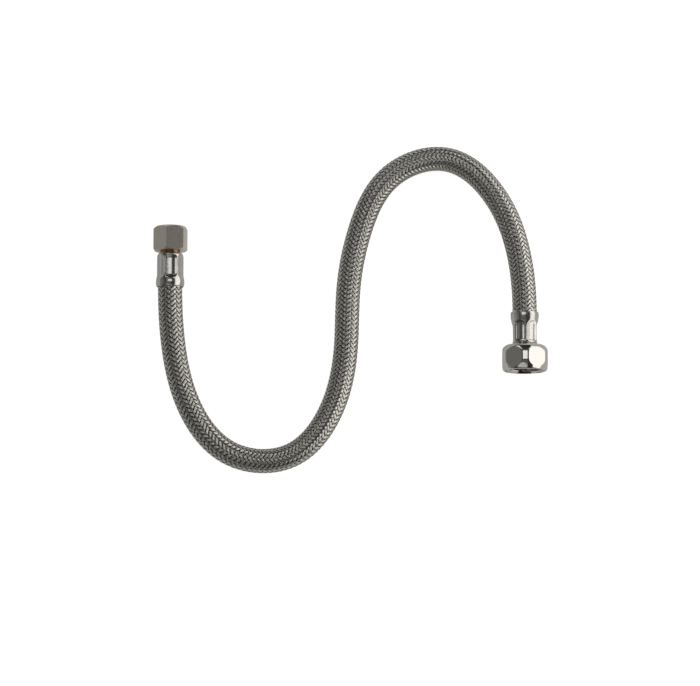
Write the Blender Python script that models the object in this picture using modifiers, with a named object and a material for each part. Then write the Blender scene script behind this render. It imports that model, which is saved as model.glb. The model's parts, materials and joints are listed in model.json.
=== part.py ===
"""Braided supply line lying flat in an S.

A rubber inner tube in a stainless wire braid is crimped at each end onto a barbed
brass nipple. The inlet end carries a hexagon nut for a compression stem, the outlet
end a larger round-shouldered nut for a pipe thread. Each nut turns freely on its
nipple, and the hose bends and lifts at twelve hinges between thirteen short links.

Metres, +Z up. The origin is the centre of the bounding box at the resting surface.
The inlet opens towards +Y and the outlet towards -Y. Sizes below are millimetres.
"""
import math

import bmesh
import bpy
import numpy as np
from mathutils import Matrix, Vector

MM = 0.001

# ---------------------------------------------------------------- driving sizes
# Path of the hose: x, y, height, heading in degrees from +X, and how far the
# curve reaches straight before and after the knot.
HOSE_KNOTS = (
    (-101.9, 11.0, 9.9, -90.0, 0.0, 54.0),
    (-48.0, -86.75, 7.05, 0.0, 39.0, 28.0),
    (-2.0, -12.0, 7.05, 90.0, 42.0, 47.0),
    (49.0, 86.75, 7.05, 0.0, 38.0, 29.0),
    (98.7, 1.5, 13.8, -90.0, 44.0, 0.0),
)
LINKS = 13                 # rigid links that stand in for the flexible hose
ROOT_LINK = 7              # the middle link, which every other one hangs from
LINK_GAP = 2.2             # open gap at a hinge, room for 15 degrees of bend
LINK_STUB = 1.5            # straight run at each end of a link
LINK_STATIONS = 3          # cross-sections along the bent run of a link
HOSE_SIDES = 16

BRAID_RADIUS = 7.0
BRAID_WALL = 0.5
TUBE_RADIUS = 6.2
TUBE_BORE = 4.2
CRIMPED_BRAID = 5.9        # outer radius of the braid inside the crimp
CRIMPED_TUBE = 5.1         # outer radius of the tube inside the crimp

TURNED_STEPS = 36          # facets round a turned piece
NUT_STEPS = 48
PANELS = 6                 # flats pressed into a ferrule by the crimping jaws
JAW_THICKNESS = 4.0        # stock of the cutter behind each pressed panel
BORE_OVERRUN = 2.0         # how far a cutter runs past the solid it cuts
CURVE_SAMPLES = 200        # points along each curve between two knots

# Fittings. A depth is measured from the open face of the nut towards the hose.
INLET = {
    "face": (-101.9, 46.9, 9.9),
    "outward": 1.0,        # the mouth opens towards +Y
    "hose_start": 16.8,
    "crimp_end": 28.9,
    "bell_start": 31.5,
    "length": 34.7,        # open face to the hose end of the ferrule
    "flats": 17.46,        # 11/16 inch across flats
    "flat_turn": 18.8,     # first flat, degrees from straight up towards +X
    "panel_turn": 5.0,
    "panel_radius": 6.75,
    "panel_depths": (18.0, 28.8),
    "panel_width": 6.4,
}
OUTLET = {
    "face": (98.7, -36.4, 13.8),
    "outward": -1.0,       # the mouth opens towards -Y
    "hose_start": 17.0,
    "crimp_end": 27.2,
    "bell_start": 29.9,
    "length": 33.6,
    "flats": 25.4,         # 1 inch across flats
    "flat_turn": 29.6,
    "panel_turn": 35.0,
    "panel_radius": 6.8,
    "panel_depths": (17.2, 27.4),
    "panel_width": 5.8,
}

# Turned outlines as (radius, depth), first the outside from the mouth inwards, then
# the bore, also from the mouth inwards.
INLET_NUT_OUTSIDE = ((8.2, 0.0), (10.2, 1.7), (10.2, 13.0), (8.9, 14.2))
INLET_NUT_BORE = ((7.15, 0.0), (6.75, 0.5), (6.75, 12.0), (5.8, 12.0), (5.8, 14.2))
INLET_NIPPLE_OUTSIDE = ((6.4, 10.4), (6.4, 11.7), (5.5, 11.7), (5.5, 14.9), (4.6, 14.9),
                        (4.6, 16.3))
INLET_NIPPLE_BORE = ((2.9, 10.4), (2.6, 10.8))
INLET_GASKET_OUTSIDE = ((4.8, 6.9), (6.2, 8.9), (6.2, 10.1))
INLET_GASKET_BORE = ((2.9, 6.9), (2.9, 10.1))
INLET_FERRULE_OUTSIDE = ((5.9, 15.2), (6.9, 15.7), (7.4, 16.8), (7.5, 18.0), (7.5, 28.0),
                         (7.75, 29.4), (8.1, 31.0), (8.2, 32.4), (8.0, 33.8), (7.7, 34.7))
INLET_FERRULE_BORE = ((4.9, 15.2), (4.9, 16.0), (6.2, 16.5), (6.2, 29.1), (7.35, 31.2),
                      (7.35, 34.7))

OUTLET_NUT_OUTSIDE = ((12.0, 0.0), (12.4, 0.5), (13.2, 2.2), (13.65, 4.4), (13.8, 7.0),
                      (13.65, 9.5), (13.2, 11.5), (12.4, 13.1), (11.5, 14.1), (10.2, 14.8))
OUTLET_NUT_BORE = ((11.1, 0.0), (10.1, 1.1), (10.1, 12.3), (6.1, 12.3), (6.1, 14.8))
OUTLET_NIPPLE_OUTSIDE = ((8.6, 10.2), (8.6, 12.0), (5.8, 12.0), (5.8, 14.8), (4.6, 14.8),
                         (4.6, 16.5))
OUTLET_NIPPLE_BORE = ((4.2, 10.2), (2.6, 11.8))
OUTLET_GASKET_OUTSIDE = ((9.4, 7.7), (9.4, 9.9))
OUTLET_GASKET_BORE = ((4.6, 7.7), (4.6, 9.9))
OUTLET_FERRULE_OUTSIDE = ((5.9, 15.1), (6.6, 15.5), (7.1, 16.4), (7.2, 17.2), (7.2, 25.6),
                          (7.45, 27.4), (7.75, 29.2), (8.0, 31.0), (8.0, 32.7), (7.75, 33.6))
OUTLET_FERRULE_BORE = ((4.9, 15.1), (4.9, 15.9), (6.2, 16.4), (6.2, 27.4), (7.35, 29.6),
                       (7.35, 33.6))

# Barbed tail that the tube is pushed over, the same on both nipples.
TAIL_ROOT = 3.3
TAIL_BARB = 3.75
TAIL_BARBS = 4
BARB_PITCH = 3.6
BARB_STEP = 0.4            # axial length of a barb's steep side

# name: colour, roughness, metallic
MATERIALS = {
    "stainless_braid": ((0.50, 0.49, 0.46), 0.34, 1.0),
    "stainless_crimp": ((0.62, 0.61, 0.58), 0.20, 1.0),
    "satin_nickel": ((0.42, 0.39, 0.34), 0.38, 1.0),
    "polished_nickel": ((0.66, 0.65, 0.61), 0.16, 1.0),
    "brass": ((0.72, 0.50, 0.24), 0.32, 1.0),
    "black_rubber": ((0.03, 0.03, 0.03), 0.75, 0.0),
    "grey_gasket": ((0.10, 0.10, 0.10), 0.80, 0.0),
}


# ---------------------------------------------------------------- scene helpers
def clear_scene():
    for item in list(bpy.data.objects):
        bpy.data.objects.remove(item, do_unlink=True)


def new_collection(name):
    group = bpy.data.collections.new(name)
    bpy.context.scene.collection.children.link(group)
    return group


def new_material(name):
    colour, roughness, metallic = MATERIALS[name]
    material = bpy.data.materials.new(name)
    material.use_nodes = True
    surface = material.node_tree.nodes["Principled BSDF"]
    surface.inputs["Base Color"].default_value = (*colour, 1.0)
    surface.inputs["Roughness"].default_value = roughness
    surface.inputs["Metallic"].default_value = metallic
    material.diffuse_color = (*colour, 1.0)
    return material


def new_object(name, mesh, group, holder):
    piece = bpy.data.objects.new(name, mesh)
    group.objects.link(piece)
    piece.parent = holder
    return piece


def new_empty(name, location, group, rotation=(0.0, 0.0, 0.0)):
    empty = bpy.data.objects.new(name, None)
    empty.location = location
    empty.rotation_euler = rotation
    empty.empty_display_size = 10 * MM
    group.objects.link(empty)
    return empty


def hide_cutter(cutter):
    cutter.hide_render = True
    cutter.display_type = "WIRE"


def cut(piece, cutter, operation):
    boolean = piece.modifiers.new(operation.lower(), "BOOLEAN")
    boolean.operation = operation
    boolean.solver = "EXACT"
    boolean.object = cutter
    hide_cutter(cutter)


def finish_round(mesh):
    mesh.shade_smooth()
    mesh.set_sharp_from_angle(angle=math.radians(35))


# ---------------------------------------------------------------- hose path
def heading_vector(degrees):
    angle = math.radians(degrees)
    return np.array((math.cos(angle), math.sin(angle), 0.0))


def bezier(start, start_handle, end_handle, end):
    t = np.linspace(0.0, 1.0, CURVE_SAMPLES)[:, None]
    return ((1 - t) ** 3 * start + 3 * (1 - t) ** 2 * t * start_handle
            + 3 * (1 - t) * t ** 2 * end_handle + t ** 3 * end)


class HosePath:
    """Centre line of the free hose, from one ferrule's end to the other's."""

    def __init__(self):
        first = fitting_point(INLET, INLET["length"])
        last = fitting_point(OUTLET, OUTLET["length"])
        runs = [first[None, :]]
        for before, after in zip(HOSE_KNOTS, HOSE_KNOTS[1:]):
            start = np.array(before[:3])
            end = np.array(after[:3])
            start_handle = start + heading_vector(before[3]) * before[5]
            end_handle = end - heading_vector(after[3]) * after[4]
            runs.append(bezier(start, start_handle, end_handle, end))
        runs.append(last[None, :])
        points = np.concatenate(runs)
        steps = np.linalg.norm(np.diff(points, axis=0), axis=1)
        keep = np.concatenate(([True], steps > 1e-6))
        self.points = points[keep]
        steps = np.linalg.norm(np.diff(self.points, axis=0), axis=1)
        self.lengths = np.concatenate(([0.0], np.cumsum(steps)))
        self.total = self.lengths[-1]

    def at(self, distance):
        return np.array([np.interp(distance, self.lengths, self.points[:, k])
                         for k in range(3)])

    def direction(self, distance, reach=0.5):
        low = max(distance - reach, 0.0)
        high = min(distance + reach, self.total)
        run = self.at(high) - self.at(low)
        return run / np.linalg.norm(run)

    def hinge(self, number):
        """Distance along the path of hinge 0 (inlet ferrule) to LINKS (outlet)."""
        return self.total * number / LINKS


def fitting_point(fitting, depth):
    """Point on a fitting's axis at a depth from its open face."""
    x, y, z = fitting["face"]
    return np.array((x, y - fitting["outward"] * depth, z))


def link_centres(path, number):
    """Points down the middle of a link, square to the path at both its hinges."""
    start = path.hinge(number - 1)
    end = path.hinge(number)
    points = []
    if number > 1:
        along = path.direction(start)
        points += [path.at(start) + along * LINK_GAP / 2,
                   path.at(start) + along * (LINK_GAP / 2 + LINK_STUB)]
    inner = np.linspace(start, end, LINK_STATIONS + 2)[1:-1]
    points += [path.at(distance) for distance in inner]
    if number < LINKS:
        along = path.direction(end)
        points += [path.at(end) - along * (LINK_GAP / 2 + LINK_STUB),
                   path.at(end) - along * LINK_GAP / 2]
    return points


def crimped_end(fitting, free_radius, crimped_radius):
    """Points and radii of the run inside the ferrule, from its blind end outwards."""
    depths = (fitting["hose_start"], fitting["crimp_end"], fitting["bell_start"],
              fitting["length"])
    radii = (crimped_radius, crimped_radius, free_radius, free_radius)
    return [fitting_point(fitting, depth) for depth in depths], list(radii)


def link_section(path, number, free_radius, crimped_radius):
    """Points and radii of one hose layer over one link."""
    points = link_centres(path, number)
    radii = [free_radius] * len(points)
    if number == 1:
        end_points, end_radii = crimped_end(INLET, free_radius, crimped_radius)
        points = end_points + points
        radii = end_radii + radii
    if number == LINKS:
        end_points, end_radii = crimped_end(OUTLET, free_radius, crimped_radius)
        points = points + end_points[::-1]
        radii = radii + end_radii[::-1]
    return points, radii


def stretched(points, reach):
    """The same run with both ends pushed out, for a cutter."""
    first = points[0] - points[1]
    last = points[-1] - points[-2]
    longer = list(points)
    longer[0] = points[0] + first / np.linalg.norm(first) * reach
    longer[-1] = points[-1] + last / np.linalg.norm(last) * reach
    return longer


# ---------------------------------------------------------------- shape helpers
def swept_object(name, points, radii, pivot, group, holder):
    """Round bar along the points, as a closed mesh about the pivot."""
    curve = bpy.data.curves.new(name + "_run", "CURVE")
    curve.dimensions = "3D"
    curve.bevel_depth = MM
    curve.bevel_resolution = HOSE_SIDES // 2 - 2
    curve.use_fill_caps = True
    spline = curve.splines.new("POLY")
    spline.points.add(len(points) - 1)
    for knot, point, radius in zip(spline.points, points, radii):
        knot.co = (*((point - pivot) * MM), 1.0)
        knot.radius = radius
    guide = bpy.data.objects.new(name + "_guide", curve)
    group.objects.link(guide)
    bpy.context.view_layer.update()
    evaluated = guide.evaluated_get(bpy.context.evaluated_depsgraph_get())
    mesh = bpy.data.meshes.new_from_object(evaluated)
    bpy.data.objects.remove(guide, do_unlink=True)
    shape = bmesh.new()
    shape.from_mesh(mesh)
    bmesh.ops.remove_doubles(shape, verts=shape.verts, dist=1e-6)
    bmesh.ops.recalc_face_normals(shape, faces=shape.faces)
    shape.to_mesh(mesh)
    shape.free()
    mesh.name = name
    finish_round(mesh)
    return new_object(name, mesh, group, holder)


def turned_object(name, outside, bore, steps, group, holder):
    """Ring turned about the holder's Z axis, which points out of the mouth."""
    outline = list(outside) + list(reversed(bore))
    mesh = bpy.data.meshes.new(name)
    points = [(radius * MM, 0.0, -depth * MM) for radius, depth in outline]
    count = len(points)
    edges = [(k, (k + 1) % count) for k in range(count)]
    mesh.from_pydata(points, edges, [])
    piece = new_object(name, mesh, group, holder)
    screw = piece.modifiers.new("turn", "SCREW")
    screw.axis = "Z"
    screw.angle = math.radians(360)
    screw.steps = steps
    screw.render_steps = steps
    screw.use_merge_vertices = True
    screw.merge_threshold = 1e-6
    screw.use_smooth_shade = True
    return piece


def six_around(shape, first_angle):
    """Turn a copy of the shape's geometry to each of the ferrule's panels."""
    original = list(shape.verts) + list(shape.edges) + list(shape.faces)
    for k in range(1, PANELS):
        copy = bmesh.ops.duplicate(shape, geom=original)
        corners = [item for item in copy["geom"] if isinstance(item, bmesh.types.BMVert)]
        turn = Matrix.Rotation(math.radians(k * 360 / PANELS), 3, "Z")
        bmesh.ops.rotate(shape, verts=corners, cent=(0, 0, 0), matrix=turn)
    bmesh.ops.rotate(shape, verts=shape.verts, cent=(0, 0, 0),
                     matrix=Matrix.Rotation(first_angle, 3, "Z"))


def up_angle(fitting, turn):
    """Angle about a fitting's own axis of a direction turned from straight up."""
    return math.radians(90 - turn) * -fitting["outward"]


# ---------------------------------------------------------------- sub-parts
def make_nut(name, fitting, outside, bore, material, groups, holder):
    """Turned blank brought down to six flats."""
    parts, cutters = groups
    nut = turned_object(name, outside, bore, NUT_STEPS, parts, holder)
    depth = outside[-1][1]
    shape = bmesh.new()
    corner = fitting["flats"] / 2 / math.cos(math.radians(30))
    bmesh.ops.create_cone(shape, cap_ends=True, segments=6, radius1=corner * MM,
                          radius2=corner * MM, depth=(depth + 2 * BORE_OVERRUN) * MM)
    bmesh.ops.translate(shape, verts=shape.verts, vec=(0, 0, -depth / 2 * MM))
    # A corner of the fresh prism lies at 90 degrees, so a flat faces 30 degrees on.
    turn = up_angle(fitting, fitting["flat_turn"]) - math.radians(120)
    bmesh.ops.rotate(shape, verts=shape.verts, cent=(0, 0, 0),
                     matrix=Matrix.Rotation(turn, 3, "Z"))
    mesh = bpy.data.meshes.new(name + "_hexagon")
    shape.to_mesh(mesh)
    shape.free()
    hexagon = new_object(name + "_hexagon", mesh, cutters, holder)
    cut(nut, hexagon, "INTERSECT")
    nut.data.materials.append(material)
    return nut


def make_ferrule(name, fitting, outside, bore, material, groups, holder):
    """Thin sleeve with six panels pressed in by the crimping jaws."""
    parts, cutters = groups
    ferrule = turned_object(name, outside, bore, TURNED_STEPS, parts, holder)
    low, high = fitting["panel_depths"]
    radius = fitting["panel_radius"]
    shape = bmesh.new()
    bmesh.ops.create_cube(shape, size=1.0)
    bmesh.ops.scale(shape, verts=shape.verts,
                    vec=(JAW_THICKNESS * MM, fitting["panel_width"] * MM, (high - low) * MM))
    bmesh.ops.translate(shape, verts=shape.verts,
                        vec=((radius + JAW_THICKNESS / 2) * MM, 0, -(low + high) / 2 * MM))
    six_around(shape, up_angle(fitting, fitting["panel_turn"]))
    mesh = bpy.data.meshes.new(name + "_panels")
    shape.to_mesh(mesh)
    shape.free()
    jaws = new_object(name + "_panels", mesh, cutters, holder)
    cut(ferrule, jaws, "DIFFERENCE")
    ferrule.data.materials.append(material)
    return ferrule


def make_nipple(name, outside, bore, material, groups, holder):
    """Flanged brass nipple whose barbed tail holds the tube."""
    depth = outside[-1][1]
    tail = [(TAIL_ROOT, depth)]
    for k in range(TAIL_BARBS):
        tail.append((TAIL_BARB, depth + BARB_PITCH * k + BARB_STEP))
        tail.append((TAIL_ROOT, depth + BARB_PITCH * (k + 1)))
    tail_end = tail[-1][1]
    throat = bore[-1][0]
    nipple = turned_object(name, list(outside) + tail, list(bore) + [(throat, tail_end)],
                           TURNED_STEPS, groups[0], holder)
    nipple.data.materials.append(material)
    return nipple


def make_gasket(name, outside, bore, material, groups, holder):
    gasket = turned_object(name, outside, bore, TURNED_STEPS, groups[0], holder)
    gasket.data.materials.append(material)
    return gasket


def make_layer(name, path, number, radii, material, groups, holder, pivot):
    """One layer of the hose over one link: free, crimped, bore and crimped bore."""
    parts, cutters = groups
    free, crimped, bore, crimped_bore = radii
    points, outer = link_section(path, number, free, crimped)
    inner = link_section(path, number, bore, crimped_bore)[1]
    layer = swept_object(name, points, outer, pivot, parts, holder)
    core = swept_object(name + "_core", stretched(points, BORE_OVERRUN), inner, pivot,
                        cutters, holder)
    cut(layer, core, "DIFFERENCE")
    layer.data.materials.append(material)
    return layer


def link_pivot(path, number):
    """Where a link hinges on its neighbour towards the middle of the hose."""
    if number < ROOT_LINK:
        return path.at(path.hinge(number))
    if number > ROOT_LINK:
        return path.at(path.hinge(number - 1))
    return path.at(path.total / 2)


def make_hose(materials, groups):
    """Thirteen links of braid over tube, each under an empty at its hinge."""
    path = HosePath()
    braid_radii = (BRAID_RADIUS, CRIMPED_BRAID, BRAID_RADIUS - BRAID_WALL,
                   CRIMPED_BRAID - BRAID_WALL)
    tube_radii = (TUBE_RADIUS, CRIMPED_TUBE, TUBE_BORE, TUBE_BORE)
    for number in range(1, LINKS + 1):
        pivot = link_pivot(path, number)
        holder = new_empty(f"hose_link_{number:02d}", Vector(pivot * MM), groups[0])
        make_layer(f"braid_{number:02d}", path, number, braid_radii,
                   materials["stainless_braid"], groups, holder, pivot)
        make_layer(f"inner_tube_{number:02d}", path, number, tube_radii,
                   materials["black_rubber"], groups, holder, pivot)


def make_fittings(materials, groups):
    """Nut, gasket, nipple and ferrule at each end, on an empty at the nut's mouth."""
    shapes = {
        "inlet": (INLET, INLET_NUT_OUTSIDE, INLET_NUT_BORE, INLET_FERRULE_OUTSIDE,
                  INLET_FERRULE_BORE, INLET_NIPPLE_OUTSIDE, INLET_NIPPLE_BORE,
                  INLET_GASKET_OUTSIDE, INLET_GASKET_BORE, "satin_nickel"),
        "outlet": (OUTLET, OUTLET_NUT_OUTSIDE, OUTLET_NUT_BORE, OUTLET_FERRULE_OUTSIDE,
                   OUTLET_FERRULE_BORE, OUTLET_NIPPLE_OUTSIDE, OUTLET_NIPPLE_BORE,
                   OUTLET_GASKET_OUTSIDE, OUTLET_GASKET_BORE, "polished_nickel"),
    }
    for end, shape in shapes.items():
        (fitting, nut_outside, nut_bore, ferrule_outside, ferrule_bore,
         nipple_outside, nipple_bore, gasket_outside, gasket_bore, nut_finish) = shape
        tilt = math.radians(-90) * fitting["outward"]
        face = Vector(fitting["face"]) * MM
        holder = new_empty(f"{end}_axis", face, groups[0], (tilt, 0.0, 0.0))
        make_nut(f"{end}_nut", fitting, nut_outside, nut_bore, materials[nut_finish],
                 groups, holder)
        make_ferrule(f"{end}_ferrule", fitting, ferrule_outside, ferrule_bore,
                     materials["stainless_crimp"], groups, holder)
        make_nipple(f"{end}_nipple", nipple_outside, nipple_bore, materials["brass"],
                    groups, holder)
        make_gasket(f"{end}_gasket", gasket_outside, gasket_bore,
                    materials["grey_gasket"], groups, holder)


def main():
    clear_scene()
    groups = (new_collection("braided_supply_line"), new_collection("cutters"))
    materials = {name: new_material(name) for name in MATERIALS}
    make_hose(materials, groups)
    make_fittings(materials, groups)
    bpy.context.view_layer.update()


main()
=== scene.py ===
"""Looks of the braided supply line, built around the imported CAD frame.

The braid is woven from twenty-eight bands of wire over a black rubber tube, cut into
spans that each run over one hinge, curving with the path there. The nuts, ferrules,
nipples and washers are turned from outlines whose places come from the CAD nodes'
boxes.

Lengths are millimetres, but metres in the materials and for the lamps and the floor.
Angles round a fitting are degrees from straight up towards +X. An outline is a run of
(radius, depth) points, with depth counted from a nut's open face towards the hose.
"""
import json
import math

import bpy
import numpy as np
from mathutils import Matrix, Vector

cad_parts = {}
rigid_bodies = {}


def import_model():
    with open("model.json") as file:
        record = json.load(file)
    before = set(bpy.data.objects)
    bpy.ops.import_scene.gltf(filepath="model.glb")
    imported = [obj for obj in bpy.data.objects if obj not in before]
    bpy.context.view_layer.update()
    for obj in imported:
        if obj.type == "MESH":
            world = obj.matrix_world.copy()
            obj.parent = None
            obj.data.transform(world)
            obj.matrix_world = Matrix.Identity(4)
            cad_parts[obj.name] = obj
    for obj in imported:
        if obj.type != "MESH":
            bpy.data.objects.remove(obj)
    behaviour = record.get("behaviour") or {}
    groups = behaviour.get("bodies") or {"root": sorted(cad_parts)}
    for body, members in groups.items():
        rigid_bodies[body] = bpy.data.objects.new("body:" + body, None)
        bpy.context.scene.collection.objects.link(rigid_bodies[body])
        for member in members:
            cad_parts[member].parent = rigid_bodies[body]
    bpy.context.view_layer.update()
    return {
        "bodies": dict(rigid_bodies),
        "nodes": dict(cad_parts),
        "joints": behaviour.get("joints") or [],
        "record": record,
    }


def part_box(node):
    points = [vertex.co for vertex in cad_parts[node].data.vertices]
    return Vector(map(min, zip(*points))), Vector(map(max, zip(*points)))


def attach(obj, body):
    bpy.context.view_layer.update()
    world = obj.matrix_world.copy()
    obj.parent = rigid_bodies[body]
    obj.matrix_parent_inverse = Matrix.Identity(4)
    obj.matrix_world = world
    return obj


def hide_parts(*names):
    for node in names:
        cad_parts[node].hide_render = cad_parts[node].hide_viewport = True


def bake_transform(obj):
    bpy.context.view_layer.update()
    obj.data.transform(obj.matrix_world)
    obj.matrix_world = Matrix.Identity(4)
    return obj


MM = 0.001
OUTLINE_STEP = 0.35         # largest distance between two points of a nut's outline
ROUND_SIDES = 64            # columns round a plain turned piece

# Braid
CARRIERS_EACH_WAY = 14
# Axial length of one full turn of a carrier: (share of the hose's length, length).
LAY = ((0.0, 38.1), (0.17, 38.9), (0.24, 38.9), (0.29, 33.8), (0.38, 34.3),
       (0.45, 36.5), (0.62, 36.3), (0.70, 33.6), (0.78, 33.2), (0.84, 35.2),
       (1.0, 35.4))
BRAID_MIDDLE = 6.70         # radius half way between the outer and inner crossings
WEAVE_SWING = 0.17          # rise and fall of a band over and under the others
WIRES_PER_BAND = 6
BAND_WIDTH = 1.44
WIRE_RELIEF = 0.055
WIRE_SHOULDERS = (0.26, 0.74)   # where a wire's flat top starts and ends
VALLEY_SHADE = 0.7          # how dark the painted shade and grime in the valley between two wires are
BAND_CROWN = 0.11           # how far a band's edges lie below its middle
BAND_THICKNESS = 0.12
RING_STEP = 0.6             # axial distance between cross-sections of a band
COLUMN_PHASE = 90.0 / CARRIERS_EACH_WAY     # columns meet half way between crossings
COLUMN_SHARPNESS = 2.0      # how quickly a band dives at the border of a column
# Slow turn of the whole braid round the hose: (share of the hose's length, degrees).
TWIST = ((0.0, 16.0), (0.17, 16.0), (0.29, 43.0), (0.41, 43.0), (0.48, 35.0),
         (0.8, 37.0), (0.94, 67.0), (1.0, 67.0))
TUBE_OUTSIDE = 6.3
TUBE_BORE = 4.2
TUBE_SIDES = 48
TUBE_STEP = 1.5
PATH_SAMPLES = 120          # points along the path between two hinges
TANGENT_REACH = 0.4         # half of the stretch that a direction is measured over
RIGID_MARGIN = 2.5          # margin kept in from each end of a span when its start and end points are found
FERRULE_TUCK = 3.0          # how far the braid runs into the bell of a ferrule

# Fittings
INLET_FLATS = 17.46
INLET_FLAT_TURN = 18.8
INLET_THREAD = (6.55, 7.14, 25.4 / 24)      # crest radius, root radius, pitch
OUTLET_FLATS = 25.4
OUTLET_FLAT_TURN = 29.6
OUTLET_THREAD = (9.65, 10.6, 25.4 / 14)
FLAT_COLUMNS = 9
ARC_COLUMNS = 7
EDGE_BREAK = 0.09           # half width of the broken edge beside each flat
NUT_FILLET = 0.45
THREAD_RUNOUT = 0.8         # plain stretch between the last thread and the web
THREAD_CLEARANCE = 0.1      # how far the plain bore lies outside the thread's root
ROWS_PER_PITCH = 10
HOLE_CHAMFER = 0.3
INLET_PANEL_TURN = 6.0
OUTLET_PANEL_TURN = 36.0
PANEL_SINK = 0.70           # how far a pressed panel lies below the ridges
RIDGE = (1.5, 11.0)         # half width of a ridge's top and foot, in degrees
FERRULE_COLUMNS = 216
FERRULE_FILLET = 0.7
FERRULE_STEP = 0.25         # largest distance between two points of its outline
CREASE = (0.10, 1.0, 2.0)   # depth of the bell's creases, where they start, their run
BARBS = 4
BARB_ROOT = 3.3
BARB_CREST = 3.75
BARB_FACE = 0.4             # length of a barb's steep face
NIPPLE_BORE = 2.6
NIPPLE_FILLET = 0.2
WASHER_FILLET = 0.35

# Studio
VIEW_ELEVATION = 82.0       # degrees above the floor
PIXELS_PER_MM = 1.766
FRAME_WIDTH = 700
LENS = 200.0
SENSOR = 36.0
AIM_BELOW = 19.4            # the aim lies this far towards -Y of the object's middle
# Brightness of the room by direction: (how far towards +X, grey).
ROOM = ((-1.0, 0.30), (-0.93, 0.17), (-0.78, 0.16), (-0.74, 0.05), (-0.62, 0.05),
        (-0.5, 0.13), (0.17, 0.10), (0.24, 0.03), (0.69, 0.03), (0.75, 0.10))


# ------------------------------------------------------------------ small tools
def smoothstep(x):
    x = np.clip(x, 0.0, 1.0)
    return x * x * (3 - 2 * x)


def straight_rise(x):
    """Rise from 0 to 1 in a straight line with a short curve at each end."""
    x = np.clip(x, 0.0, 1.0)
    return 0.35 * smoothstep(x) + 0.65 * x


def unit(v):
    return v / np.linalg.norm(v, axis=-1, keepdims=True)


def rounded(points, fillet, steps=5):
    """Outline through the points with each inner corner rounded."""
    points = [np.array(p, float) for p in points]
    outline = [points[0]]
    for before, corner, after in zip(points, points[1:], points[2:]):
        reach_in = min(fillet, np.linalg.norm(before - corner) * 0.49)
        reach_out = min(fillet, np.linalg.norm(after - corner) * 0.49)
        start = corner + unit(before - corner) * reach_in
        end = corner + unit(after - corner) * reach_out
        for t in np.linspace(0.0, 1.0, steps):
            outline.append((1 - t) ** 2 * start + 2 * t * (1 - t) * corner
                           + t * t * end)
    outline.append(points[-1])
    return np.array(outline)


def dense(outline, step):
    """The same outline with extra points, none further apart than the step."""
    result = [outline[0]]
    for start, end in zip(outline, outline[1:]):
        count = max(1, math.ceil(np.linalg.norm(end - start) / step))
        for k in range(1, count + 1):
            result.append(start + (end - start) * k / count)
    return np.array(result)


def mesh_object(name, vertices, faces, material, smooth_below=30.0):
    """Object with its faces turned outwards and its edges smooth below an angle."""
    mesh = bpy.data.meshes.new(name)
    mesh.from_pydata((vertices * MM).tolist(), [], faces)
    mesh.validate()
    if signed_volume(mesh) < 0:
        mesh.flip_normals()
    mesh.shade_smooth()
    mesh.set_sharp_from_angle(angle=math.radians(smooth_below))
    mesh.materials.append(material)
    piece = bpy.data.objects.new(name, mesh)
    bpy.context.scene.collection.objects.link(piece)
    return piece


def signed_volume(mesh):
    mesh.calc_loop_triangles()
    corners = np.zeros(len(mesh.loop_triangles) * 3, np.int32)
    mesh.loop_triangles.foreach_get("vertices", corners)
    places = np.zeros(len(mesh.vertices) * 3)
    mesh.vertices.foreach_get("co", places)
    a, b, c = places.reshape(-1, 3)[corners.reshape(-1, 3)].transpose(1, 0, 2)
    return float(np.einsum("ij,ij->", a, np.cross(b, c)))


def grid_faces(rows, columns, first=0, close_rows=False):
    """Quads of a grid whose columns close on themselves."""
    faces = []
    for r in range(rows if close_rows else rows - 1):
        here = first + r * columns
        there = first + (r + 1) % rows * columns
        for c in range(columns):
            d = (c + 1) % columns
            faces.append((here + c, here + d, there + d, there + c))
    return faces


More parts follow.
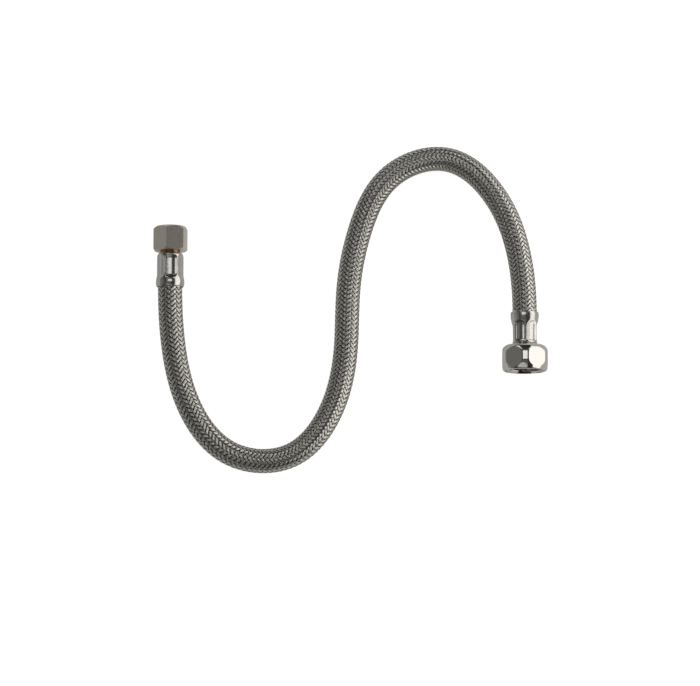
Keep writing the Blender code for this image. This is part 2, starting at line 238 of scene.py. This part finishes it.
# ------------------------------------------------------------------ hose path
class HosePath:
    """Centre line of the hose, through the hinges of the CAD links."""

    def __init__(self, frame, inlet, outlet):
        bodies = frame["record"]["behaviour"]["bodies"]
        braids = sorted(n for n in frame["nodes"] if n.startswith("braid_"))
        self.chain = [next(b for b, members in bodies.items() if n in members)
                      for n in braids]
        knots = [inlet.point(inlet.depths("ferrule")[1])]
        for before, after in zip(self.chain, self.chain[1:]):
            joint = next(j for j in frame["joints"]
                         if {j["parent"], j["child"]} == {before, after})
            knots.append(np.array(joint["pos_m"]) / MM)
        knots.append(outlet.point(outlet.depths("ferrule")[1]))
        slopes = self.smooth_slopes(np.array(knots), -inlet.out, outlet.out)
        knots = [knots[0] + inlet.out * FERRULE_TUCK, *knots,
                 knots[-1] + outlet.out * FERRULE_TUCK]
        self.sample(np.array(knots), np.array([slopes[0], *slopes, slopes[-1]]))

    @staticmethod
    def smooth_slopes(knots, first, last):
        """Slopes at the knots that keep the bend of a cubic curve without a jump."""
        run = np.diff(knots, axis=0)
        chord = np.linalg.norm(run, axis=1)
        matrix = np.eye(len(knots))
        sides = np.zeros_like(knots)
        sides[0], sides[-1] = first, last
        for k in range(1, len(knots) - 1):
            before, after = chord[k - 1], chord[k]
            matrix[k, k - 1:k + 2] = after, 2 * (before + after), before
            sides[k] = 3 * (after / before * run[k - 1] + before / after * run[k])
        return np.linalg.solve(matrix, sides)

    def sample(self, knots, slopes):
        """Points of the curve, and where its hinges and the spans' borders lie."""
        runs = []
        t = np.linspace(0.0, 1.0, PATH_SAMPLES, endpoint=False)[:, None]
        for k in range(len(knots) - 1):
            third = np.linalg.norm(knots[k + 1] - knots[k]) / 3
            a = knots[k] + slopes[k] * third
            b = knots[k + 1] - slopes[k + 1] * third
            runs.append((1 - t) ** 3 * knots[k] + 3 * (1 - t) ** 2 * t * a
                        + 3 * (1 - t) * t ** 2 * b + t ** 3 * knots[k + 1])
        runs.append(knots[-1:])
        self.points = np.concatenate(runs)
        # No part may dip lower than the lowest knots, where the hose lies flat.
        self.points[:, 2] = np.maximum(self.points[:, 2], knots[:, 2].min())
        steps = np.linalg.norm(np.diff(self.points, axis=0), axis=1)
        self.lengths = np.concatenate(([0.0], np.cumsum(steps)))
        self.total = self.lengths[-1]
        at_knot = self.lengths[::PATH_SAMPLES]
        self.hinges = at_knot[2:-2]
        ends = ([0.0], (self.hinges[:-1] + self.hinges[1:]) / 2, [self.total])
        self.borders = np.concatenate(ends)

    def at(self, s):
        axes = [np.interp(s, self.lengths, self.points[:, k]) for k in range(3)]
        return np.stack(axes, -1)

    def frames(self, s):
        """Points, and the sideways and upward directions square to the path."""
        ahead = self.at(np.minimum(s + TANGENT_REACH, self.total))
        behind = self.at(np.maximum(s - TANGENT_REACH, 0.0))
        along = unit(ahead - behind)
        side = unit(np.cross(along, (0.0, 0.0, 1.0)))
        return self.at(s), side, np.cross(side, along)

    def surface(self, s, angle, radius):
        """Points round the path: the angle is in radians from up towards the side."""
        centre, side, up = self.frames(s)
        return centre + radius[..., None] * (np.cos(angle)[..., None] * up
                                             + np.sin(angle)[..., None] * side)


class Fitting:
    """Axis of one end: depth runs from the nut's open face towards the hose."""

    def __init__(self, end, outward):
        self.end = end
        self.outward = outward
        self.out = np.array((0.0, outward, 0.0))
        low, high = self.box("nut")
        middle = (low + high) / 2
        mouth = high[1] if outward > 0 else low[1]
        self.face = np.array((middle[0], mouth, middle[2]))

    def box(self, part):
        low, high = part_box(f"{self.end}_{part}")
        return np.array(low) / MM, np.array(high) / MM

    def depths(self, part):
        """Nearest and furthest depth of a CAD part."""
        low, high = self.box(part)
        ends = sorted((self.face[1] - y) * self.outward for y in (low[1], high[1]))
        return ends[0], ends[1]

    def point(self, depth):
        return self.face - self.out * depth

    def ring_solid(self, name, rows, material, smooth_below=30.0):
        """Closed ring from rows of (depth, radius, angle), joined last to first."""
        places = []
        for depth, radius, angle in rows:
            depth, radius, angle = np.broadcast_arrays(depth, radius, angle)
            x = self.face[0] + radius * np.sin(np.radians(angle))
            y = self.face[1] - self.outward * depth
            z = self.face[2] + radius * np.cos(np.radians(angle))
            places.append(np.stack((x, y, z), -1))
        columns = len(places[0])
        faces = grid_faces(len(places), columns, close_rows=True)
        return mesh_object(name, np.concatenate(places), faces, material, smooth_below)

    def turned(self, name, outline, material):
        """Ring turned from a closed outline of (radius, depth) points."""
        angle = np.arange(ROUND_SIDES) * 360 / ROUND_SIDES
        rows = [(depth, np.full(ROUND_SIDES, radius), angle)
                for radius, depth in outline]
        return self.ring_solid(name, rows, material)


# ------------------------------------------------------------------ materials
class Nodes:
    """Short way to build a material's node tree."""

    def __init__(self, name):
        self.material = bpy.data.materials.new(name)
        self.material.use_nodes = True
        self.tree = self.material.node_tree
        self.surface = self.tree.nodes["Principled BSDF"]

    def add(self, kind, inputs=None, **settings):
        node = self.tree.nodes.new(kind)
        for key, value in settings.items():
            setattr(node, key, value)
        for key, value in (inputs or {}).items():
            self.put(node.inputs[key], value)
        return node

    def put(self, socket, value):
        if isinstance(value, bpy.types.NodeSocket):
            self.tree.links.new(value, socket)
        else:
            socket.default_value = value

    def place(self):
        return self.add("ShaderNodeTexCoord").outputs["Object"]

    def noise(self, scale, detail=4.0, roughness=0.6, vector=None):
        node = self.add("ShaderNodeTexNoise", {"Scale": scale, "Detail": detail,
                                               "Roughness": roughness,
                                               "Vector": vector or self.place()})
        return node.outputs["Fac"]

    def stretch(self, factors):
        node = self.add("ShaderNodeVectorMath", {0: self.place(), 1: factors},
                        operation="MULTIPLY")
        return node.outputs[0]

    def spread(self, value, low, high, from_low=0.3, from_high=0.7):
        node = self.add("ShaderNodeMapRange", {"Value": value, "From Min": from_low,
                                               "From Max": from_high, "To Min": low,
                                               "To Max": high})
        return node.outputs["Result"]

    def mix(self, factor, one, two):
        node = self.add("ShaderNodeMix", data_type="RGBA")
        self.put(node.inputs["Factor"], factor)
        self.put(node.inputs["A"], one)
        self.put(node.inputs["B"], two)
        return node.outputs["Result"]

    def bump(self, height, strength, distance, normal=None):
        inputs = {"Height": height, "Strength": strength, "Distance": distance}
        if normal:
            inputs["Normal"] = normal
        return self.add("ShaderNodeBump", inputs).outputs["Normal"]

    def attribute(self, name):
        return self.add("ShaderNodeAttribute", attribute_name=name).outputs["Fac"]

    def finish(self, colour, roughness, metallic, normal=None):
        self.put(self.surface.inputs["Base Color"], colour)
        self.put(self.surface.inputs["Roughness"], roughness)
        self.put(self.surface.inputs["Metallic"], metallic)
        if normal:
            self.put(self.surface.inputs["Normal"], normal)
        return self.material


def rgba(r, g, b):
    return (r, g, b, 1.0)


def braid_wire():
    n = Nodes("braid_wire")
    grime_and_shade = n.attribute("grime_and_shade")
    strand = n.attribute("strand")
    bright = n.mix(strand, rgba(0.70, 0.68, 0.63), rgba(0.88, 0.86, 0.81))
    tint = n.mix(n.spread(n.noise(900.0), 0.0, 0.35), bright, rgba(0.60, 0.56, 0.50))
    # Painted shade and grime: valleys between wires, band edges and bands lying under
    # the other hand are darkened towards near black.
    colour = n.mix(n.spread(grime_and_shade, 0.0, 0.85, 0.25, 1.0), tint,
                   rgba(0.06, 0.055, 0.05))
    rough = n.spread(n.noise(2500.0, 2.0), 0.13, 0.24)
    return n.finish(colour, rough, 1.0, n.bump(n.noise(6000.0, 2.0), 0.15, 0.00002))


def black_rubber():
    n = Nodes("black_rubber")
    colour = n.mix(n.noise(1500.0), rgba(0.012, 0.012, 0.012),
                   rgba(0.030, 0.029, 0.028))
    rough = n.spread(n.noise(3000.0), 0.55, 0.8)
    return n.finish(colour, rough, 0.0, n.bump(n.noise(5000.0), 0.3, 0.00003))


def plated(name, light, dark, rough_low, rough_high, along, relief):
    """Nickel plate with the fine turning marks of the brass under it."""
    n = Nodes(name)
    marks = n.noise(1.0, 3.0, 0.7, n.stretch(along))
    grain = n.noise(1400.0, 3.0)
    colour = n.mix(n.spread(grain, 0.0, 1.0), light, dark)
    rough = n.spread(n.noise(900.0, 1.0), rough_low, rough_high, 0.2, 0.8)
    fine = n.bump(marks, relief, 0.00002)
    dimple = n.bump(n.noise(1800.0, 3.0), relief * 0.6, 0.00003, fine)
    return n.finish(colour, rough, 1.0, dimple)


def pressed_steel():
    n = Nodes("pressed_steel")
    colour = n.mix(n.spread(n.noise(300.0), 0.0, 1.0), rgba(0.70, 0.68, 0.65),
                   rgba(0.58, 0.56, 0.53))
    rough = n.spread(n.noise(900.0), 0.14, 0.26)
    drawn = n.noise(1.0, 3.0, 0.7, n.stretch((3500.0, 150.0, 3500.0)))
    return n.finish(colour, rough, 1.0, n.bump(drawn, 0.12, 0.00002))


def machined_brass():
    n = Nodes("machined_brass")
    tarnish = n.spread(n.noise(420.0, 6.0), 0.0, 1.0)
    colour = n.mix(tarnish, rgba(0.50, 0.29, 0.12), rgba(0.15, 0.08, 0.035))
    rough = n.spread(n.noise(1100.0, 1.0), 0.22, 0.36, 0.2, 0.8)
    turned = n.noise(1.0, 2.0, 0.6, n.stretch((60.0, 5000.0, 60.0)))
    return n.finish(colour, rough, 1.0, n.bump(turned, 0.2, 0.00002))


def washer_rubber():
    n = Nodes("washer_rubber")
    colour = n.mix(n.noise(700.0), rgba(0.035, 0.034, 0.033), rgba(0.075, 0.072, 0.070))
    rough = n.spread(n.noise(2200.0), 0.55, 0.85)
    return n.finish(colour, rough, 0.0, n.bump(n.noise(4000.0), 0.35, 0.00004))


def make_materials():
    return {
        "braid": braid_wire(),
        "tube": black_rubber(),
        "satin": plated("satin_nickel", rgba(0.82, 0.78, 0.70), rgba(0.66, 0.60, 0.52),
                        0.27, 0.33, (2600.0, 260.0, 2600.0), 0.035),
        "polished": plated("polished_nickel", rgba(0.74, 0.72, 0.68),
                           rgba(0.69, 0.67, 0.63), 0.07, 0.13,
                           (300.0, 3200.0, 300.0), 0.03),
        "steel": pressed_steel(),
        "brass": machined_brass(),
        "washer": washer_rubber(),
    }


# ------------------------------------------------------------------ hose
def band_profile():
    """Offsets across a band, heights of its wires, and their painted shade and grime,
    edge to edge.
    """
    pitch = BAND_WIDTH / WIRES_PER_BAND
    rise, fall = WIRE_SHOULDERS
    across, height, grime_and_shade = [], [], []
    for k in range(WIRES_PER_BAND):
        left = -BAND_WIDTH / 2 + k * pitch
        across += [left, left + rise * pitch, left + fall * pitch]
        height += [0.0, WIRE_RELIEF, WIRE_RELIEF]
        grime_and_shade += [VALLEY_SHADE, 0.0, 0.0]
    across.append(BAND_WIDTH / 2)
    height.append(0.0)
    grime_and_shade.append(VALLEY_SHADE)
    across = np.array(across)
    share = across / (BAND_WIDTH / 2)
    height = np.array(height) - BAND_CROWN * share ** 2
    height[[0, -1]] -= BAND_THICKNESS / 2
    # Painted shade and grime also darken the band's edges, which dip below its middle.
    grime_and_shade = np.maximum(np.array(grime_and_shade), share ** 4)
    return across, height, grime_and_shade


def column_wave(angle):
    """+1 where the bands of the first hand lie on top, -1 under the second hand.

    Round the hose the two hands swap at every second crossing; angle is in degrees."""
    phase = np.radians((angle - COLUMN_PHASE) * CARRIERS_EACH_WAY / 2)
    return np.clip(COLUMN_SHARPNESS * np.sin(phase), -1.0, 1.0)


def braid_span(number, path, low, high, material):
    """All twenty-eight bands between two borders of the path, as one piece."""
    across, height, grime_and_shade = band_profile()
    points_round = len(across)
    first, last = round(low / RING_STEP), round(high / RING_STEP)
    lay = np.interp(np.arange(last + 1) * RING_STEP / path.total, *np.array(LAY).T)
    # Turns a carrier has made by each ring, counted from the hose's start.
    wound = (np.cumsum(RING_STEP / lay) - RING_STEP / lay[0])[first:]
    lean = np.arctan2(2 * math.pi * BRAID_MIDDLE, lay[first:])[:, None]
    centre = np.arange(first, last + 1) * RING_STEP
    twist = np.interp(centre / path.total, *np.array(TWIST).T)
    places, faces, grime_and_shade_rows, strands = [], [], [], []
    for hand in (1, -1):
        for k in range(CARRIERS_EACH_WAY):
            turn = 360.0 * (hand * wound + k / CARRIERS_EACH_WAY)
            lift = hand * WEAVE_SWING * column_wave(turn)
            s = centre[:, None] - across[None, :] * np.sin(lean)
            sweep = hand * across[None, :] * np.cos(lean) / BRAID_MIDDLE
            angle = np.radians(turn + twist)[:, None] + sweep
            radius = BRAID_MIDDLE + lift[:, None] + height[None, :]
            start = len(places) * len(centre) * points_round
            inside = np.clip(s, 0.0, path.total)
            places.append(path.surface(inside, angle, radius).reshape(-1, 3))
            faces += grid_faces(len(centre), points_round, start)
            rim = list(range(start, start + points_round))
            end = start + (len(centre) - 1) * points_round
            faces += [rim[::-1], list(range(end, end + points_round))]
            # Painted shade and grime where the band dives under the other hand.
            sunk_grime_and_shade = (1 - hand * column_wave(turn)) / 2
            grime_and_shade_rows.append(np.maximum(grime_and_shade[None, :], sunk_grime_and_shade[:, None]).ravel())
            # Each band has its own tone, unlike its neighbours'.
            tone = k * 5 % CARRIERS_EACH_WAY + 6 * (hand > 0)
            strands.append(np.full(len(places[-1]), tone / (CARRIERS_EACH_WAY + 6)))
    piece = mesh_object(f"braid_span_{number:02d}", np.concatenate(places), faces,
                        material, smooth_below=80.0)
    for name, values in (("grime_and_shade", grime_and_shade_rows), ("strand", strands)):
        layer = piece.data.attributes.new(name, "FLOAT", "POINT")
        layer.data.foreach_set("value", np.concatenate(values).astype(np.float32))
    return piece


def tube_span(number, path, low, high, material):
    """Rubber tube between two borders, a closed ring in section."""
    centre = np.linspace(low, high, math.ceil((high - low) / TUBE_STEP) + 1)
    angle = np.radians(np.arange(TUBE_SIDES) * 360 / TUBE_SIDES)
    rows = []
    for radius, run in ((TUBE_OUTSIDE, centre), (TUBE_BORE, centre[::-1])):
        for s in run:
            rows.append(path.surface(np.full(TUBE_SIDES, s), angle,
                                     np.full(TUBE_SIDES, radius)))
    faces = grid_faces(len(rows), TUBE_SIDES, close_rows=True)
    return mesh_object(f"inner_tube_span_{number:02d}", np.concatenate(rows), faces,
                       material)


def make_hose(path, materials):
    """Spans from the middle of one link to the middle of the next, over a hinge."""
    for k in range(len(path.hinges)):
        low, high = path.borders[k], path.borders[k + 1]
        bend = path.hinges[k]
        start = path.at(max(low, 2 * bend - high) + RIGID_MARGIN) * MM
        end = path.at(min(high, 2 * bend - low) - RIGID_MARGIN) * MM
        pieces = ((braid_span(k + 1, path, low, high, materials["braid"]), "braid"),
                  (tube_span(k + 1, path, low, high, materials["tube"]), "inner_tube"))
        for piece, kind in pieces:
            stands_for = [f"{kind}_{k + 1:02d}"]
            if k + 1 == len(path.hinges):
                stands_for.append(f"{kind}_{k + 2:02d}")
            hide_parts(*stands_for)
            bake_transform(piece)


# ------------------------------------------------------------------ fittings
def nut_row(radius, depth, flats, flat_turn):
    """Angles and radii round a nut where a turned outline meets six flats."""
    reach = flats / 2
    break_angle = math.degrees(EDGE_BREAK / reach)
    if radius > reach:
        half = math.degrees(math.acos(reach / radius))
    else:
        half = 0.0
    half = min(max(half, 2 * break_angle), 30 - 2 * break_angle)
    flat = np.linspace(-half + break_angle, half - break_angle, FLAT_COLUMNS)
    arc = np.linspace(half + break_angle, 60 - half - break_angle, ARC_COLUMNS)
    flat_radius = np.minimum(reach / np.cos(np.radians(flat)), radius)
    from_flat = np.minimum(arc, 60 - arc)
    arc_radius = np.minimum(reach / np.cos(np.radians(from_flat)), radius)
    angles, radii = [], []
    for k in range(6):
        angles += [flat_turn + 60 * k + flat, flat_turn + 60 * k + arc]
        radii += [flat_radius, arc_radius]
    return depth, np.concatenate(radii), np.concatenate(angles)


def bore_row(base, depth, thread, thread_end, mouth, outward, flat_turn):
    """Radii round the bore, cut by a right-hand thread down to the thread's end.

    The thread's section rises and falls in straight flanks, with flats at both ends."""
    crest, root, pitch = thread
    columns = 6 * (FLAT_COLUMNS + ARC_COLUMNS)
    angle = flat_turn - 30 + (np.arange(columns) + 0.5) * 360 / columns
    if depth > thread_end:
        return depth, np.full(columns, base), angle
    phase = (depth / pitch + outward * angle / 360) % 1.0
    height = np.clip(1.4 * (1 - 2 * np.abs(phase - 0.5)) - 0.2, 0.0, 1.0)
    fade = smoothstep((thread_end - depth) / pitch)
    cut = crest + (root - crest) * height * fade
    return depth, np.maximum(cut, mouth - depth), angle


def make_nut(fitting, outside, flats, flat_turn, thread, mouth, web, hole, material):
    """Nut with flats, broken edges, a real thread and a web with the nipple's hole."""
    length = fitting.depths("nut")[1]
    outline = dense(rounded(outside, NUT_FILLET), OUTLINE_STEP)
    rows = [nut_row(radius, depth, flats, flat_turn) for radius, depth in outline]
    thread_end = length - web - THREAD_RUNOUT
    plain_bore = thread[1] + THREAD_CLEARANCE
    args = (thread, thread_end, mouth, fitting.outward, flat_turn)
    rows.append(bore_row(hole, length, *args))
    rows.append(bore_row(hole, length - web + HOLE_CHAMFER, *args))
    rows.append(bore_row(hole + HOLE_CHAMFER, length - web, *args))
    rows.append(bore_row(plain_bore, length - web, *args))
    steps = math.ceil(thread_end / (thread[2] / ROWS_PER_PITCH))
    for depth in np.linspace(thread_end + 0.05, 0.0, steps):
        rows.append(bore_row(plain_bore, depth, *args))
    piece = fitting.ring_solid(f"{fitting.end}_nut_turned", rows, material,
                               smooth_below=24.0)
    place(piece, fitting, "nut", f"{fitting.end}_nut")


def ferrule_row(depth, base, delta, panel):
    """Radii round a ferrule, whose pressed panels leave six narrow ridges between.

    A panel is given by its two ends, how far its border arches and how wide the slope
    round it is; delta is the angle from the middle of the nearest panel."""
    low, high, arch, edge = panel
    top, foot = RIDGE
    from_ridge = 30 - np.abs(delta)
    bow = arch * (np.abs(delta) / 30) ** 2
    window = (straight_rise((depth - low - 0.4 * bow) / edge)
              * straight_rise((high - bow - depth) / edge)
              * straight_rise((from_ridge - top) / (foot - top)))
    deepest, before, run = CREASE
    crease = deepest * smoothstep((depth - high + before) / run)
    return base - PANEL_SINK * window - crease * (1 - np.cos(np.radians(delta * 3)))


def make_ferrule(fitting, outline, bore, panel, panel_turn, material):
    """Pressed sleeve, from its folded-in end to its rolled bell mouth."""
    angle = panel_turn + np.arange(FERRULE_COLUMNS) * 360 / FERRULE_COLUMNS
    delta = (angle - panel_turn + 30) % 60 - 30
    rows = []
    for radius, depth in dense(rounded(outline, FERRULE_FILLET), FERRULE_STEP):
        rows.append((depth, ferrule_row(depth, radius, delta, panel), angle))
    for radius, depth in reversed(bore):
        rows.append((depth, np.full(FERRULE_COLUMNS, radius), angle))
    piece = fitting.ring_solid(f"{fitting.end}_ferrule_pressed", rows, material,
                               smooth_below=40.0)
    place(piece, fitting, "ferrule", f"{fitting.end}_end")


def make_nipple(fitting, outside, throat, material):
    """Flanged nipple with a barbed tail inside the hose."""
    start, end = fitting.depths("nipple")
    tail = []
    depth = outside[-1][1]
    pitch = (end - depth) / BARBS
    for k in range(BARBS):
        tail += [(BARB_ROOT, depth + k * pitch),
                 (BARB_CREST, depth + k * pitch + BARB_FACE)]
    tail.append((BARB_ROOT, end))
    outline = rounded(list(outside) + tail, NIPPLE_FILLET, steps=3).tolist()
    outline += [(NIPPLE_BORE, end), (NIPPLE_BORE, start + throat - NIPPLE_BORE + 0.2),
                (throat, start)]
    piece = fitting.turned(f"{fitting.end}_nipple_turned", outline, material)
    place(piece, fitting, "nipple", f"{fitting.end}_end")


def make_washer(fitting, outline, material):
    soft = rounded(outline, WASHER_FILLET).tolist()
    piece = fitting.turned(f"{fitting.end}_washer", soft, material)
    place(piece, fitting, "gasket", f"{fitting.end}_end")


def place(piece, fitting, part, body):
    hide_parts(f"{fitting.end}_{part}")
    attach(piece, body)


def make_inlet(inlet, materials):
    length = inlet.depths("nut")[1]
    outside = ((7.15, 0.0), (8.2, 0.0), (10.2, 1.7), (10.2, length - 1.2),
               (8.9, length), (6.0, length))
    make_nut(inlet, outside, INLET_FLATS, INLET_FLAT_TURN, INLET_THREAD,
             mouth=7.3, web=2.2, hole=5.8, material=materials["satin"])
    start, end = inlet.depths("ferrule")
    outline = ((5.0, start), (5.9, start), (7.0, start + 0.6), (7.5, start + 1.9),
               (7.5, start + 12.9), (7.8, start + 14.4), (8.15, start + 16.0),
               (8.2, start + 17.3), (8.0, start + 18.6), (7.65, end), (7.4, end))
    bore = ((4.9, start), (4.9, start + 0.8), (6.2, start + 1.3), (6.2, start + 13.9),
            (7.2, start + 16.0), (7.2, end))
    make_ferrule(inlet, outline, bore, (start + 1.6, start + 15.2, 1.0, 1.9),
                 INLET_PANEL_TURN, materials["steel"])
    start, end = inlet.depths("nipple")
    outside = ((2.9, start), (6.4, start), (6.4, start + 1.3), (5.5, start + 1.3),
               (5.5, start + 4.9), (4.6, start + 4.9), (4.6, start + 6.3))
    make_nipple(inlet, outside, throat=2.9, material=materials["brass"])
    start, end = inlet.depths("gasket")
    make_washer(inlet, ((2.9, end), (2.9, start), (4.8, start), (6.2, start + 2.0),
                        (6.2, end), (3.0, end)), materials["washer"])


def make_outlet(outlet, materials):
    length = outlet.depths("nut")[1]
    outside = ((11.2, 0.0), (12.0, 0.0), (12.4, 0.5), (13.55, 3.6), (13.78, 5.0),
               (13.8, 7.4), (13.78, length - 4.8), (13.5, length - 3.8),
               (12.5, length - 1.8), (11.5, length - 0.7), (10.2, length),
               (6.4, length))
    make_nut(outlet, outside, OUTLET_FLATS, OUTLET_FLAT_TURN, OUTLET_THREAD,
             mouth=11.15, web=2.5, hole=6.1, material=materials["polished"])
    start, end = outlet.depths("ferrule")
    outline = ((5.0, start), (5.9, start), (6.7, start + 0.4), (7.15, start + 1.3),
               (7.2, start + 10.5), (7.45, start + 12.3), (7.75, start + 14.1),
               (8.0, start + 15.9), (8.0, start + 17.6), (7.75, end), (7.4, end))
    bore = ((4.9, start), (4.9, start + 0.8), (6.2, start + 1.3), (6.2, start + 12.3),
            (7.1, start + 14.5), (7.2, end))
    make_ferrule(outlet, outline, bore, (start + 0.8, start + 13.6, 2.6, 1.7),
                 OUTLET_PANEL_TURN, materials["steel"])
    start, end = outlet.depths("nipple")
    outside = ((4.2, start), (8.6, start), (8.6, start + 1.8), (5.8, start + 1.8),
               (5.8, start + 4.6), (4.6, start + 4.6), (4.6, start + 6.3))
    make_nipple(outlet, outside, throat=4.2, material=materials["brass"])
    start, end = outlet.depths("gasket")
    make_washer(outlet, ((4.6, end), (4.6, start), (9.4, start), (9.4, end),
                         (4.7, end)), materials["washer"])


# ------------------------------------------------------------------ studio
def make_floor():
    """Pale floor: plain white to the camera, lit by the lamps in reflections."""
    n = Nodes("floor")
    seen = n.add("ShaderNodeLightPath").outputs["Is Camera Ray"]
    n.finish(n.mix(seen, rgba(0.80, 0.79, 0.76), rgba(0.50, 0.50, 0.50)), 0.9, 0.0)
    n.surface.inputs["Specular IOR Level"].default_value = 0.0
    n.surface.inputs["Emission Color"].default_value = rgba(1.0, 1.0, 1.0)
    n.put(n.surface.inputs["Emission Strength"], n.spread(seen, 0.20, 0.92, 0.0, 1.0))
    size = 6.0
    mesh = bpy.data.meshes.new("floor")
    corners = [(-size, -size, 0), (size, -size, 0), (size, size, 0), (-size, size, 0)]
    mesh.from_pydata(corners, [], [(0, 1, 2, 3)])
    mesh.materials.append(n.material)
    floor = bpy.data.objects.new("floor", mesh)
    bpy.context.scene.collection.objects.link(floor)


def make_light(name, place_at, size, radiance, colour=(1.0, 1.0, 1.0), level=False):
    """Rectangular lamp, level or turned to face the object, of a set brightness."""
    light = bpy.data.lights.new(name, "AREA")
    light.shape = "RECTANGLE"
    light.size, light.size_y = size
    light.energy = radiance * math.pi * size[0] * size[1]
    light.color = colour
    lamp = bpy.data.objects.new(name, light)
    lamp.location = place_at
    if not level:
        lamp.rotation_euler = (-Vector(place_at)).to_track_quat("-Z", "Y").to_euler()
    lamp.visible_camera = False
    bpy.context.scene.collection.objects.link(lamp)


def make_world():
    """Dim room, darker in places, as reflections see it; white to the camera."""
    world = bpy.data.worlds.new("studio")
    world.use_nodes = True
    tree = world.node_tree
    background = tree.nodes["Background"]

    def add(kind, *values, **settings):
        node = tree.nodes.new(kind)
        for key, value in settings.items():
            setattr(node, key, value)
        for socket, value in zip(node.inputs, values):
            if isinstance(value, bpy.types.NodeSocket):
                tree.links.new(value, socket)
            elif value is not None:
                socket.default_value = value
        return node

    direction = add("ShaderNodeTexCoord").outputs["Generated"]
    towards = add("ShaderNodeSeparateXYZ", direction)
    sideways = add("ShaderNodeMapRange", towards.outputs["X"], -1.0, 1.0)
    ramp = add("ShaderNodeValToRGB", sideways.outputs["Result"])
    stops = ramp.color_ramp.elements
    while len(stops) < len(ROOM):
        stops.new(1.0)
    for stop, (across, grey) in zip(stops, ROOM):
        stop.position = (across + 1) / 2
        stop.color = (grey, grey, grey * 0.98, 1.0)
    aside = add("ShaderNodeMath", towards.outputs["Y"], operation="ABSOLUTE")
    fade = add("ShaderNodeMapRange", aside.outputs["Value"], 0.5, 0.9, 1.0, 0.25)
    seen = add("ShaderNodeLightPath").outputs["Is Camera Ray"]
    strength = add("ShaderNodeMath", fade.outputs["Result"], seen, operation="MAXIMUM")
    colour = add("ShaderNodeMix", data_type="RGBA")
    tree.links.new(seen, colour.inputs["Factor"])
    tree.links.new(ramp.outputs["Color"], colour.inputs["A"])
    colour.inputs["B"].default_value = (0.98, 0.98, 1.0, 1.0)
    tree.links.new(colour.outputs["Result"], background.inputs["Color"])
    tree.links.new(strength.outputs["Value"], background.inputs["Strength"])
    bpy.context.scene.world = world


def make_camera():
    """Long lens above the floor, at the elevation the object is seen from."""
    camera = bpy.data.cameras.new("camera")
    camera.lens = LENS
    camera.sensor_width = SENSOR
    camera.clip_end = 20.0
    view = bpy.data.objects.new("camera", camera)
    bpy.context.scene.collection.objects.link(view)
    width = FRAME_WIDTH / PIXELS_PER_MM * MM
    distance = width * LENS / SENSOR
    tilt = math.radians(VIEW_ELEVATION)
    back = Vector((0.0, -math.cos(tilt), math.sin(tilt)))
    aim = Vector((0.0, -AIM_BELOW * MM, 0.007))
    view.location = aim + back * distance
    view.rotation_euler = (-back).to_track_quat("-Z", "Y").to_euler()
    bpy.context.scene.camera = view


def make_studio():
    make_floor()
    make_world()
    make_light("key", (1.376, 0.0, 0.598), (2.6, 1.18), 1.3, (1.0, 0.99, 0.97))
    make_light("top", (-0.15, 0.41, 1.9), (1.15, 0.62), 1.0, level=True)
    make_light("front", (-0.35, -1.2, 1.45), (1.5, 0.6), 0.42)
    make_light("back_right", (0.85, 1.25, 0.75), (0.5, 1.1), 1.1)
    make_light("back_left", (-0.62, 1.35, 0.75), (0.35, 1.1), 1.0)
    make_camera()
    bpy.context.scene.view_settings.view_transform = "Standard"


def main():
    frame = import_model()
    inlet = Fitting("inlet", 1.0)
    outlet = Fitting("outlet", -1.0)
    path = HosePath(frame, inlet, outlet)
    materials = make_materials()
    make_hose(path, materials)
    make_inlet(inlet, materials)
    make_outlet(outlet, materials)
    make_studio()
    bpy.context.view_layer.update()


main()
